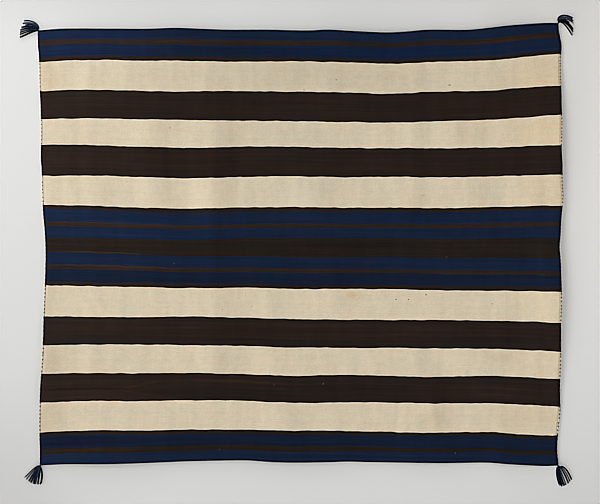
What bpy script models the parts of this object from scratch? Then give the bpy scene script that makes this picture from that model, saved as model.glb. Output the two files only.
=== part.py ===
# A striped wearing blanket of woven wool, lying flat with its face up.
# X runs along the stripes, Y up the cloth and Z out of its face, in metres.
# The web is one sheet. Four cords edge it, and a tassel hangs from each corner.

import math
from collections import namedtuple

import bmesh
import bpy
from mathutils import Vector
from mathutils.geometry import interpolate_bezier, intersect_point_line

MM = 0.001

# Driving dimensions
WEB_WIDTH = 1.786
WEB_HEIGHT = 1.500
WEB_THICKNESS = 0.0024
CORD_RADIUS = 0.0020
KNOT_RADIUS = 0.0042
STRAND_RADIUS = 0.0012
STRANDS_PER_TASSEL = 14
STRAND_UNEVENNESS = 0.07

# From the web's corner to its knot, across the cloth and along it
KNOT_ASIDE = 0.0042
KNOT_BEYOND = 0.0064

# Clearances between neighbouring pieces
CORD_GAP = 0.0004
STRAND_GAP = 0.00045

# How finely the curved shapes are cut
WEB_COLUMNS = 46
WEB_ROWS = 38
STRAND_POINTS = 11
KNOT_SEGMENTS = 12
KNOT_RINGS = 8

# Millimetres along an edge from the web's left or lower corner, and how far the edge
# lies from a straight line there, towards +X or +Y.
Station = namedtuple("Station", "along shift")

TOP_EDGE = [
    Station(0, -5),
    Station(50, -1),
    Station(100, 1),
    Station(240, 0),
    Station(375, -1),
    Station(475, 2),
    Station(580, -2),
    Station(650, -4),
    Station(790, -4),
    Station(925, -7),
    Station(993, -4),
    Station(1062, -8),
    Station(1131, -12),
    Station(1200, -14),
    Station(1270, -10),
    Station(1338, -4),
    Station(1476, -4),
    Station(1545, 2),
    Station(1615, 10),
    Station(1684, 16),
    Station(1740, 20),
    Station(1786, 21),
]
BOTTOM_EDGE = [
    Station(0, -1),
    Station(50, 2),
    Station(100, 4),
    Station(240, 5),
    Station(375, 9),
    Station(510, 14),
    Station(650, 17),
    Station(720, 17),
    Station(790, 12),
    Station(860, 10),
    Station(993, 11),
    Station(1062, 13),
    Station(1131, 11),
    Station(1270, 9),
    Station(1410, 8),
    Station(1545, 9),
    Station(1615, 4),
    Station(1684, 0),
    Station(1740, -3),
    Station(1786, -2),
]
LEFT_EDGE = [
    Station(0, -4),
    Station(150, -5),
    Station(268, -4),
    Station(313, -1),
    Station(380, 3),
    Station(450, 6),
    Station(540, 9),
    Station(650, 14),
    Station(735, 16),
    Station(810, 13),
    Station(855, 9),
    Station(945, 5),
    Station(1120, 3),
    Station(1215, -1),
    Station(1305, -6),
    Station(1395, -8),
    Station(1500, -10),
]
RIGHT_EDGE = [
    Station(0, -9),
    Station(65, -15),
    Station(135, -11),
    Station(180, -6),
    Station(273, -7),
    Station(360, -3),
    Station(465, -1),
    Station(567, 4),
    Station(675, 1),
    Station(765, -5),
    Station(855, 2),
    Station(915, 8),
    Station(990, 4),
    Station(1080, 3),
    Station(1170, 6),
    Station(1275, 3),
    Station(1395, 2),
    Station(1445, 5),
    Station(1500, -7),
]

# Low swells that keep the cloth from lying dead flat: a centre, how far the swell
# reaches each way and its height, all in millimetres from the middle of the web.
Swell = namedtuple("Swell", "x y reach_x reach_y rise")

SWELLS = [
    Swell(-760, 20, 95, 260, 2.2),
    Swell(-515, 330, 115, 380, 2.8),
    Swell(-314, 60, 105, 520, 3.0),
    Swell(45, 140, 120, 230, 2.2),
    Swell(585, 190, 150, 300, 1.8),
    Swell(430, -540, 110, 190, 2.4),
    Swell(-893, -450, 110, 330, 5.0),
    Swell(-640, -750, 260, 170, 6.5),
    Swell(20, -750, 230, 150, 5.0),
    Swell(470, -750, 200, 140, 5.5),
    Swell(745, -750, 135, 160, 6.0),
    Swell(893, -180, 150, 430, 8.5),
    Swell(893, 380, 140, 330, 7.5),
    Swell(-420, 750, 330, 130, 4.5),
    Swell(230, 750, 330, 130, 5.5),
    Swell(700, 750, 175, 150, 7.0),
]

# The guides of a tassel: the share of its strands counted to there, the two handles
# that bend a strand and its tip, in millimetres from the knot. Strands between two
# guides are blended from them, and two guides close in share leave a parting.
Guide = namedtuple("Guide", "share handle_1 handle_2 tip")
Tassel = namedtuple("Tassel", "name corner guides")

TASSELS = [
    Tassel(
        "tassel_top_left",
        (0, 1),
        [
            Guide(0.00, (-1, 28), (-21, 35), (-47, 29)),
            Guide(0.18, (-1, 23), (-22, 29), (-51, 18)),
            Guide(0.26, (-2, 19), (-23, 22), (-55, 9)),
            Guide(0.60, (-5, 13), (-25, 12), (-60, -8)),
            Guide(1.00, (-9, 4), (-27, -9), (-62, -28)),
        ],
    ),
    Tassel(
        "tassel_top_right",
        (1, 1),
        [
            Guide(0.00, (-8, 30), (21, 34), (52, 13)),
            Guide(0.38, (-1, 17), (28, 22), (55, -2)),
            Guide(0.46, (4, 15), (29, 12), (54, -22)),
            Guide(1.00, (9, 6), (29, -6), (48, -45)),
        ],
    ),
    Tassel(
        "tassel_bottom_left",
        (0, 0),
        [
            Guide(0.00, (-11, 3), (-30, -20), (-53, -40)),
            Guide(0.66, (-4, -11), (-14, -35), (-22, -61)),
            Guide(0.78, (-1, -12), (-5, -37), (-9, -63)),
            Guide(1.00, (7, -13), (10, -40), (3, -62)),
        ],
    ),
    Tassel(
        "tassel_bottom_right",
        (1, 0),
        [
            Guide(0.00, (-7, -13), (-9, -42), (4, -66)),
            Guide(0.30, (-2, -14), (3, -42), (15, -70)),
            Guide(0.55, (4, -13), (18, -36), (28, -64)),
            Guide(0.65, (9, -8), (25, -27), (37, -60)),
            Guide(1.00, (13, 3), (30, -13), (46, -46)),
        ],
    ),
]

# Colours of the yarns, and how rough the spun wool is
COLOURS = {
    "web": (0.62, 0.53, 0.40),
    "cord": (0.012, 0.015, 0.032),
    "tassel": (0.014, 0.022, 0.045),
}
WOOL_ROUGHNESS = 0.92


def clear_scene():
    for obj in list(bpy.data.objects):
        bpy.data.objects.remove(obj)


def new_collection(name):
    collection = bpy.data.collections.new(name)
    bpy.context.scene.collection.children.link(collection)
    return collection


def wool(name):
    material = bpy.data.materials.new(name + "_wool")
    material.use_nodes = True
    shader = material.node_tree.nodes["Principled BSDF"]
    shader.inputs["Base Color"].default_value = (*COLOURS[name], 1.0)
    shader.inputs["Roughness"].default_value = WOOL_ROUGHNESS
    shader.inputs["Metallic"].default_value = 0.0
    return material


def move_to(obj, collection):
    for old in list(obj.users_collection):
        old.objects.unlink(obj)
    collection.objects.link(obj)


def mix(a, b, t):
    return a + (b - a) * t


def edge_shift(stations, along):
    """The edge's shift in metres, on a smooth curve through its stations."""
    along = along / MM
    last = len(stations) - 2
    i = 0
    while i < last and along > stations[i + 1].along:
        i += 1
    a, b = stations[i], stations[i + 1]
    before = stations[max(i - 1, 0)]
    after = stations[min(i + 2, last + 1)]
    span = b.along - a.along
    t = (along - a.along) / span
    slope_a = (b.shift - before.shift) / (b.along - before.along) * span
    slope_b = (after.shift - a.shift) / (after.along - a.along) * span
    shift = (
        (2 * t**3 - 3 * t**2 + 1) * a.shift
        + (t**3 - 2 * t**2 + t) * slope_a
        + (3 * t**2 - 2 * t**3) * b.shift
        + (t**3 - t**2) * slope_b
    )
    return shift * MM


def swell_height(x, y):
    height = 0.0
    for swell in SWELLS:
        across = abs(x / MM - swell.x) / swell.reach_x
        along = abs(y / MM - swell.y) / swell.reach_y
        if across < 1 and along < 1:
            crown = (1 + math.cos(math.pi * across)) * (1 + math.cos(math.pi * along)) / 4
            height += swell.rise * MM * crown
    return height


def web_point(u, v):
    """A point of the web's underside, for u from left to right and v from bottom to top."""
    x = WEB_WIDTH * u
    y = WEB_HEIGHT * v
    shift_x = mix(edge_shift(LEFT_EDGE, y), edge_shift(RIGHT_EDGE, y), u)
    shift_y = mix(edge_shift(BOTTOM_EDGE, x), edge_shift(TOP_EDGE, x), v)
    place_x = x - WEB_WIDTH / 2 + shift_x
    place_y = y - WEB_HEIGHT / 2 + shift_y
    return Vector((place_x, place_y, swell_height(place_x, place_y)))


def make_web(collection):
    """The woven sheet: a grid laid to the outline, with the cloth's thickness above it."""
    bpy.ops.mesh.primitive_grid_add(x_subdivisions=WEB_COLUMNS, y_subdivisions=WEB_ROWS, size=1)
    web = bpy.context.object
    web.name = "web"
    for vertex in web.data.vertices:
        vertex.co = web_point(vertex.co.x + 0.5, vertex.co.y + 0.5)
    thickness = web.modifiers.new("thickness", "SOLIDIFY")
    thickness.thickness = WEB_THICKNESS
    thickness.offset = 1.0
    web.data.materials.append(wool("web"))
    move_to(web, collection)
    return web


def make_tube(name, points, radius, resolution, material, collection):
    """A closed tube of round yarn through the points. Resolution 0 gives it four sides."""
    curve = bpy.data.curves.new(name, "CURVE")
    curve.dimensions = "3D"
    curve.bevel_depth = radius
    curve.bevel_resolution = resolution
    curve.use_fill_caps = True
    spline = curve.splines.new("POLY")
    spline.points.add(len(points) - 1)
    for target, point in zip(spline.points, points):
        target.co = (*point, 1.0)
    curve.materials.append(material)
    tube = bpy.data.objects.new(name, curve)
    collection.objects.link(tube)
    return tube


def cord_line(along_side, level):
    """A cord's centreline beside one edge of the web, a point for each row or column there."""
    steps = WEB_ROWS if along_side else WEB_COLUMNS
    shares = [i / steps for i in range(steps + 1)]
    edge = [web_point(level, s) if along_side else web_point(s, level) for s in shares]
    outside = 1 if level else -1
    line = []
    for i, point in enumerate(edge):
        run = edge[min(i + 1, steps)] - edge[max(i - 1, 0)]
        if along_side:
            away = Vector((run.y, -run.x, 0)).normalized() * outside
        else:
            away = Vector((-run.y, run.x, 0)).normalized() * outside
        reach = CORD_RADIUS + CORD_GAP
        line.append(point + away * reach + Vector((0, 0, CORD_RADIUS)))
    return line


def make_cords(collection):
    material = wool("cord")
    edges = {
        "cord_left": (True, 0),
        "cord_right": (True, 1),
        "cord_bottom": (False, 0),
        "cord_top": (False, 1),
    }
    for name, (along_side, level) in edges.items():
        make_tube(name, cord_line(along_side, level), CORD_RADIUS, 1, material, collection)


def blend_guides(guides, share):
    """The handles and tip of the strand at this share of the tassel, in metres."""
    i = 0
    while i < len(guides) - 2 and share > guides[i + 1].share:
        i += 1
    a, b = guides[i], guides[i + 1]
    t = (share - a.share) / (b.share - a.share)
    pairs = zip((a.handle_1, a.handle_2, a.tip), (b.handle_1, b.handle_2, b.tip))
    return [Vector((*p, 0)).lerp(Vector((*q, 0)), t) * MM for p, q in pairs]


def plan_distance(point, line):
    """How far the point lies from the line, both seen from above."""
    nearest = []
    for start, end in zip(line, line[1:]):
        on_line, t = intersect_point_line(point.xy, start.xy, end.xy)
        foot = start.xy.lerp(end.xy, min(max(t, 0.0), 1.0))
        nearest.append((point.xy - foot).length)
    return min(nearest)


def strand_lines(tassel, centre):
    """The strands' centrelines. Every second one lies on its neighbours until the fan opens."""
    root = Vector((centre.x, centre.y, STRAND_RADIUS))
    lines = []
    for i in range(STRANDS_PER_TASSEL):
        share = i / (STRANDS_PER_TASSEL - 1)
        handle_1, handle_2, tip = blend_guides(tassel.guides, share)
        tip *= 1 - STRAND_UNEVENNESS * (i * 3 % 5) / 4
        lines.append(interpolate_bezier(root, root + handle_1, root + handle_2, root + tip, STRAND_POINTS))
    for i in range(1, STRANDS_PER_TASSEL, 2):
        neighbours = [lines[j] for j in (i - 1, i + 1) if j < STRANDS_PER_TASSEL]
        for point in lines[i]:
            room = min(plan_distance(point, line) for line in neighbours)
            point.z += max(0.0, 2 * STRAND_RADIUS + STRAND_GAP - room)
    return lines


def mesh_of_tube(tube):
    """The tube as a mesh with its caps welded on."""
    graph = bpy.context.evaluated_depsgraph_get()
    mesh = bpy.data.meshes.new_from_object(tube.evaluated_get(graph))
    welded = bmesh.new()
    welded.from_mesh(mesh)
    bmesh.ops.remove_doubles(welded, verts=welded.verts, dist=MM / 1000)
    welded.to_mesh(mesh)
    welded.free()
    return mesh


def join_tubes(name, tubes, collection):
    """One mesh object that holds every tube as a closed shell of its own."""
    shells = bmesh.new()
    for tube in tubes:
        mesh = mesh_of_tube(tube)
        shells.from_mesh(mesh)
        bpy.data.objects.remove(tube)
        bpy.data.meshes.remove(mesh)
    joined = bpy.data.meshes.new(name)
    shells.to_mesh(joined)
    shells.free()
    obj = bpy.data.objects.new(name, joined)
    collection.objects.link(obj)
    return obj


def make_tassel(tassel, material, collection, helpers):
    """A knot just off the web's corner, with its strands fused into it and fanned on the floor."""
    right, top = tassel.corner
    corner = web_point(right, top)
    aside = KNOT_ASIDE if right else -KNOT_ASIDE
    beyond = KNOT_BEYOND if top else -KNOT_BEYOND
    centre = Vector((corner.x + aside, corner.y + beyond, KNOT_RADIUS))
    bpy.ops.mesh.primitive_uv_sphere_add(
        segments=KNOT_SEGMENTS, ring_count=KNOT_RINGS, radius=KNOT_RADIUS, location=centre
    )
    knot = bpy.context.object
    knot.name = tassel.name
    knot.data.materials.append(material)
    move_to(knot, collection)
    tubes = []
    for i, line in enumerate(strand_lines(tassel, centre)):
        tubes.append(make_tube(f"strand_{i}", line, STRAND_RADIUS, 0, material, helpers))
    strands = join_tubes(tassel.name + "_strands", tubes, helpers)
    strands.hide_render = True
    strands.display_type = "WIRE"
    fuse = knot.modifiers.new("fuse", "BOOLEAN")
    fuse.operation = "UNION"
    fuse.object = strands
    fuse.use_self = True
    return knot


def centre_on_origin(collection):
    """Sets the middle of the whole blanket, tassels included, over the origin."""
    bpy.context.view_layer.update()
    graph = bpy.context.evaluated_depsgraph_get()
    places = []
    for obj in collection.objects:
        seen = obj.evaluated_get(graph)
        mesh = seen.to_mesh()
        places += [seen.matrix_world @ vertex.co for vertex in mesh.vertices]
        seen.to_mesh_clear()
    for axis in (0, 1):
        reached = [place[axis] for place in places]
        middle = (min(reached) + max(reached)) / 2
        for obj in bpy.data.objects:
            obj.location[axis] -= middle


def main():
    clear_scene()
    blanket = new_collection("striped_wearing_blanket")
    helpers = new_collection("cutters")
    make_web(blanket)
    make_cords(blanket)
    tassel_wool = wool("tassel")
    for tassel in TASSELS:
        make_tassel(tassel, tassel_wool, blanket, helpers)
    centre_on_origin(blanket)


main()
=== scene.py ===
import math
import bpy
import numpy as np
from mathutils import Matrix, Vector, noise
from mathutils.geometry import interpolate_bezier


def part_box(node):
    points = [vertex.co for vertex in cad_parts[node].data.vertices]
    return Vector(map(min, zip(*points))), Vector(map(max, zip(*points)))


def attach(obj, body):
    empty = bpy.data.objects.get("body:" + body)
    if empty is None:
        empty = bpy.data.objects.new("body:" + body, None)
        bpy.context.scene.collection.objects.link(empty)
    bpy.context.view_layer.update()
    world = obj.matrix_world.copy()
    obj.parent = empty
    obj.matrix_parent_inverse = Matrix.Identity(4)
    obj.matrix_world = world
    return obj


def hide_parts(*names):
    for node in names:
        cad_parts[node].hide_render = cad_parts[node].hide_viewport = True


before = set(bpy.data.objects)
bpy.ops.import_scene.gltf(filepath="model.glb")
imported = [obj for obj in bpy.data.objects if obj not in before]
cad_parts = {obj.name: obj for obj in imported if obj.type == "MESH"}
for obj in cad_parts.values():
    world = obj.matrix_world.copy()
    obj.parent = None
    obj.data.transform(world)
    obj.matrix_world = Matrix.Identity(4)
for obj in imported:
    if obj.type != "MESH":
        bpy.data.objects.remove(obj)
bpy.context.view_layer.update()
mm = 0.001
print("frame loaded:", len(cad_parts), "nodes")


# the cloth's measures, the same as in the part's source

web = {
    "width": 1786 * mm,
    "height": 1500 * mm,
    "thickness": 2.4 * mm,
    "columns": 204,
    "rowHeight": 9 * mm,
    # along the edge from the left or lower corner, and how far the edge lies off a straight line, in mm
    "topEdge": [(0, -5), (50, -1), (100, 1), (240, 0), (375, -1), (475, 2), (580, -2), (650, -4),
                (790, -4), (925, -7), (993, -4), (1062, -8), (1131, -12), (1200, -14), (1270, -10),
                (1338, -4), (1476, -4), (1545, 2), (1615, 10), (1684, 16), (1740, 20), (1786, 21)],
    "bottomEdge": [(0, -1), (50, 2), (100, 4), (240, 5), (375, 9), (510, 14), (650, 17), (720, 17),
                   (790, 12), (860, 10), (993, 11), (1062, 13), (1131, 11), (1270, 9), (1410, 8),
                   (1545, 9), (1615, 4), (1684, 0), (1740, -3), (1786, -2)],
    "leftEdge": [(0, -4), (150, -5), (268, -4), (313, -1), (380, 3), (450, 6), (540, 9), (650, 14),
                 (735, 16), (810, 13), (855, 9), (945, 5), (1120, 3), (1215, -1), (1305, -6),
                 (1395, -8), (1500, -10)],
    "rightEdge": [(0, -9), (65, -15), (135, -11), (180, -6), (273, -7), (360, -3), (465, -1),
                  (567, 4), (675, 1), (765, -5), (855, 2), (915, 8), (990, 4), (1080, 3), (1170, 6),
                  (1275, 3), (1395, 2), (1445, 5), (1500, -7)],
    # low swells: centre from the web's middle, reach each way and rise, in mm
    "swells": [(-760, 20, 95, 260, 2.2), (-515, 330, 115, 380, 2.8), (-314, 60, 105, 520, 3.0),
               (45, 140, 120, 230, 2.2), (585, 190, 150, 300, 1.8), (430, -540, 110, 190, 2.4),
               (-893, -450, 110, 330, 5.0), (-640, -750, 260, 170, 6.5), (20, -750, 230, 150, 5.0),
               (470, -750, 200, 140, 5.5), (745, -750, 135, 160, 6.0), (893, -180, 150, 430, 8.5),
               (893, 380, 140, 330, 7.5), (-420, 750, 330, 130, 4.5), (230, 750, 330, 130, 5.5),
               (700, 750, 175, 150, 7.0)],
}

# the broad stripes from the top down: yarn, and the line under each, in mm above the web's middle,
# as a level and how far the line lies off it at each station from left to right
lineStations = [-888, -729, -556, -384, -211, -38, 135, 307, 480, 653, 791, 888]
broadStripes = [
    ("upper band", 644.4, [-6, 1, -1, -2, -5, -3, -6, -12, -4, 0, 14, 22]),
    ("cream", 540.6, [-2, 3, -1, -3, -1, -4, -6, -11, -3, 0, 11, 16]),
    ("brown", 439.4, [2, 5, 1, -1, -4, -5, -8, -10, -5, 0, 9, 16]),
    ("cream", 346.6, [7, 6, 0, -4, 0, 0, -4, -5, -5, -3, 3, 5]),
    ("brown", 243.4, [2, 3, -2, -6, -2, 1, -3, -1, -3, 0, 4, 6]),
    ("cream", 138.6, [7, 4, -2, -6, -2, 0, -3, -2, -4, -1, 4, 4]),
    ("middle band", -144.6, [11, 9, 6, 3, 4, -1, 0, -1, -5, -7, -8, -11]),
    ("cream", -248.4, [10, 7, 6, 9, 5, 0, -2, -3, -4, -6, -9, -13]),
    ("brown", -346.6, [8, 10, 9, 7, 5, -1, -2, -2, -4, -5, -10, -15]),
    ("cream", -442.4, [6, 7, 7, 8, 4, -2, 1, -2, -5, -2, -8, -13]),
    ("brown", -537.6, [1, 5, 5, 8, 7, -1, 1, 0, -3, -2, -8, -13]),
    ("cream", -637.4, [-2, 4, 4, 7, 7, 4, 3, -1, -3, -1, -10, -12]),
    ("lower band", -750, None),
]

# how the lines between the stripes wander, and those inside a band: seed, length and reach of the waves
lineWander = [(1, 45 * mm, 1.8 * mm), (20, 18 * mm, 1.5 * mm)]
bandWander = (40, 60 * mm, 1.6 * mm)

# what each band is made of, from the top down: yarn and its width in mm at five places
bandStations = [-833, -418, -3, 428, 853]
bandStripes = {
    "upper band": [
        ("indigo", [33, 34, 33, 33, 32]), ("rust", [20, 20, 19, 19, 19]),
        ("indigo", [40, 40, 40, 43, 45]), ("umber", [17, 18, 15, 16, 14]),
    ],
    "middle band": [
        ("umber", [14, 17, 16, 15, 15]), ("indigo", [42, 40, 41, 39, 41]),
        ("rust", [18, 15, 15, 16, 18]), ("indigo", [38, 37, 35, 36, 38]),
        ("darkBrown", [50, 57, 67, 66, 69]), ("indigo", [40, 39, 37, 41, 44]),
        ("rust", [17, 15, 17, 15, 16]), ("deepIndigo", [41, 40, 41, 40, 39]),
        ("umber", [16, 16, 14, 16, 16]),
    ],
    "lower band": [
        ("darkBrown", [14, 15, 17, 13, 14]), ("deepIndigo", [45, 40, 38, 41, 42]),
        ("darkBrown", [20, 20, 21, 15, 15]), ("indigo", [34, 34, 34, 34, 36]),
    ],
}

yarns = {
    "cream": (0.806, 0.7, 0.517),
    "brown": (0.0245, 0.016, 0.0125),
    "darkBrown": (0.0205, 0.0148, 0.0118),
    "rust": (0.0265, 0.0185, 0.0165),
    "umber": (0.0245, 0.016, 0.013),
    "indigo": (0.009, 0.0185, 0.048),
    "deepIndigo": (0.0078, 0.0152, 0.037),
}


# small tools

# a smooth curve through stations, worked out at every x at once
def smoothThrough(stations, values, x):
    s = np.array(stations, float)
    v = np.array(values, float)
    i = np.clip(np.searchsorted(s, x, side="right") - 1, 0, len(s) - 2)
    before, after = np.maximum(i - 1, 0), np.minimum(i + 2, len(s) - 1)
    span = s[i + 1] - s[i]
    t = np.clip((x - s[i]) / span, 0, 1)
    slopeA = (v[i + 1] - v[before]) / (s[i + 1] - s[before]) * span
    slopeB = (v[after] - v[i]) / (s[after] - s[i]) * span
    return ((2 * t**3 - 3 * t**2 + 1) * v[i] + (t**3 - 2 * t**2 + t) * slopeA
            + (3 * t**2 - 2 * t**3) * v[i + 1] + (t**3 - t**2) * slopeB)


# the small waves of the two selvages, finer than the part's outline: along the edge from the lower
# corner, and how far they lead off it, in mm
selvageWaves = {
    "leftEdge": [(0, -0.5), (54, 0.5), (95, -0.5), (237, 1.5), (289, 2.5), (427, 2.5), (489, 1.5),
                 (627, 0.5), (752, -0.5), (876, -1.5), (1021, -2.5), (1042, -4.5), (1083, -4.5),
                 (1208, -0.5), (1249, 0.5), (1415, 0.5), (1436, -1.5), (1500, -2.5)],
    "rightEdge": [(0, 2.6), (54, 3.6), (95, 5.6), (289, 5.6), (448, 3.0), (489, 1.4), (627, -0.8),
                 (710, 1.0), (752, 1.0), (793, 4.0), (835, 2.0), (876, 1.0), (1021, 3.2), (1042, 3.2),
                 (1083, 0.4), (1249, -0.2), (1270, 0.8), (1436, -1.0), (1500, 1.6)],
}


# how far an edge lies off its straight line, in metres
def edgeShift(edge, along, waves=True):
    shift = smoothThrough(*zip(*web[edge]), along / mm)
    if waves and edge in selvageWaves:
        shift = shift + smoothThrough(*zip(*selvageWaves[edge]), along / mm)
    return shift * mm


# the part's own low swells
def swellHeight(x, y):
    height = np.zeros_like(x)
    for centreX, centreY, reachX, reachY, rise in web["swells"]:
        across = np.minimum(np.abs(x / mm - centreX) / reachX, 1)
        along = np.minimum(np.abs(y / mm - centreY) / reachY, 1)
        height += rise * mm * (1 + np.cos(np.pi * across)) * (1 + np.cos(np.pi * along)) / 4
    return height


# how far a point of the cloth lies across from the web's middle: u is its share of the way from the
# left, y its height there
def clothX(u, y):
    yFromBottom = np.clip(y + web["height"] / 2, 0, web["height"])
    left, right = edgeShift("leftEdge", yFromBottom), edgeShift("rightEdge", yFromBottom)
    return web["width"] * (u - 0.5) + left + (right - left) * u


# a wander of its own for every seed: how long its waves are and how far they reach, in metres
def unevenness(x, seed, size, reach):
    return np.array([noise.noise(Vector((value / size, seed * 7.3, 1.7))) for value in x]) * reach


# the web's own middle in the part's frame, from the drawn outline and the CAD node's box
def findMiddle():
    up, along = np.linspace(0, web["height"], 39), np.linspace(0, web["width"], 47)  # the part's stations
    lowest = min(edgeShift("leftEdge", up, waves=False)) - web["width"] / 2
    lowestY = min(edgeShift("bottomEdge", along)) - web["height"] / 2
    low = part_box("web")[0]
    return low.x - lowest, low.y - lowestY


middleX, middleY = findMiddle()
print("middle of the web at", round(middleX / mm, 2), round(middleY / mm, 2), "mm")


# meshes

# an object in the scene for a mesh, a lamp or the camera
def placeObject(name, data):
    item = bpy.data.objects.new(name, data)
    bpy.context.scene.collection.objects.link(item)
    return item


# a smooth piece; each of its maps gives every corner of every face a place
def makePiece(name, points, faces, maps, material):
    mesh = bpy.data.meshes.new(name)
    mesh.from_pydata(points, [], faces)
    for mapName, places in maps.items():
        layer = mesh.uv_layers.new(name=mapName)
        layer.data.foreach_set("uv", np.array(places, np.float32).ravel())
    mesh.polygons.foreach_set("use_smooth", [True] * len(faces))
    mesh.materials.append(material)
    mesh.update()
    return placeObject(name, mesh)


# collects tubes, with a map and a tone on them, and makes one piece of them
class Maker:
    def __init__(self):
        self.points, self.faces, self.maps, self.tones = [], [], [], []

    # a tube through rings of points, closed at both ends; places are its map coordinates
    def addRings(self, rings, places, tone=0.0):
        first = len(self.points)
        count = len(rings[0])
        self.points += [tuple(point) for ring in rings for point in ring]
        for r, (low, high) in enumerate(zip(places, places[1:])):
            for s in range(count):
                a, b = first + r * count + s, first + r * count + (s + 1) % count
                self.faces.append((a, b, b + count, a + count))
                self.maps += [low[s], low[s + 1], high[s + 1], high[s]]
                self.tones.append(tone)
        for ring, order in ((0, range(count - 1, -1, -1)), (len(rings) - 1, range(count))):
            self.faces.append(tuple(first + ring * count + s for s in order))
            self.maps += [places[ring][s] for s in order]
            self.tones.append(tone)

    def make(self, name, material, mapName):
        piece = makePiece(name, self.points, self.faces, {mapName: self.maps}, material)
        tone = piece.data.attributes.new("tone", "FLOAT", "FACE")
        tone.data.foreach_set("value", np.array(self.tones, np.float32))
        return piece


# points at equal steps along a line, with the length up to each
def evenly(line, step):
    line = np.array(line, float)
    lengths = np.concatenate([[0], np.cumsum(np.linalg.norm(np.diff(line, axis=0), axis=1))])
    count = max(2, int(round(lengths[-1] / step)) + 1)
    places = np.linspace(0, lengths[-1], count)
    return np.stack([np.interp(places, lengths, line[:, k]) for k in range(3)], 1), places


# two directions across a line at each of its points, which turn no more than the line does
def acrossLine(line):
    run = np.gradient(line, axis=0)
    run /= np.linalg.norm(run, axis=1)[:, None]
    side = np.cross([0, 0, 1.0], run)
    side /= np.maximum(np.linalg.norm(side, axis=1), 1e-9)[:, None]
    return side, np.cross(run, side)


# rings of points round a line, of one radius or one for each point
def ringsAlong(line, radius, sides):
    side, up = acrossLine(line)
    turns = 2 * np.pi * np.arange(sides)[None, :, None] / sides
    out = np.cos(turns) * side[:, None] + np.sin(turns) * up[:, None]
    return line[:, None] + np.reshape(radius, (-1, 1, 1)) * out


frayLength = 7 * mm


# twisted yarn along a line: plies, their radius, their distance from its middle and one twist's length
# in mm, steps in a twist and sides of a ply; fray says how far its end opens
def addYarn(maker, line, yarn, tone=0.0, start=0.0, fray=0.0):
    plies, radius, spread, turn, steps, sides = yarn
    centre, places = evenly(line, turn * mm / steps)
    side, up = acrossLine(centre)
    opened = 1 + fray * np.clip((places - places[-1]) / frayLength + 1, 0, 1) ** 2
    away = spread * mm * opened
    for ply in range(plies):
        angle = 2 * math.pi * (places / (turn * mm) + ply / plies + start)
        points = centre + (away * np.cos(angle))[:, None] * side + (away * np.sin(angle))[:, None] * up
        points[:, 2] = np.maximum(points[:, 2], radius * mm * 1.02)
        # the map holds the length along a ply and the way round it
        maps = [[(place, s / sides) for s in range(sides + 1)] for place in places]
        maker.addRings(ringsAlong(points, radius * mm, sides), maps, tone)


# the shader's own words

# one output of a node; a sum on it adds a Math node
class Value:
    def __init__(self, finish, socket):
        self.finish = finish
        self.socket = socket

    def maths(self, operation, *values):
        return self.finish.node("Math", {"operation": operation}, dict(enumerate(values)))

    def __add__(self, other):
        return self.maths("ADD", self, other)

    def __radd__(self, other):
        return self.maths("ADD", other, self)

    def __sub__(self, other):
        return self.maths("SUBTRACT", self, other)

    def __rsub__(self, other):
        return self.maths("SUBTRACT", other, self)

    def __mul__(self, other):
        return self.maths("MULTIPLY", self, other)

    def __rmul__(self, other):
        return self.maths("MULTIPLY", other, self)

    def __truediv__(self, other):
        return self.maths("DIVIDE", self, other)

    def __pow__(self, power):
        return self.maths("POWER", self, power)

    def __gt__(self, other):
        return self.maths("GREATER_THAN", self, other)

    def sine(self):
        return self.maths("SINE", self)

    def fraction(self):
        return self.maths("FRACT", self)

    def whole(self):
        return self.maths("FLOOR", self)

    # 0 at low, 1 at high, eased between
    def fade(self, low, high):
        settings = {"interpolation_type": "SMOOTHSTEP"}
        return self.finish.node("MapRange", settings, {"Value": self, "From Min": low, "From Max": high})


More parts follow.
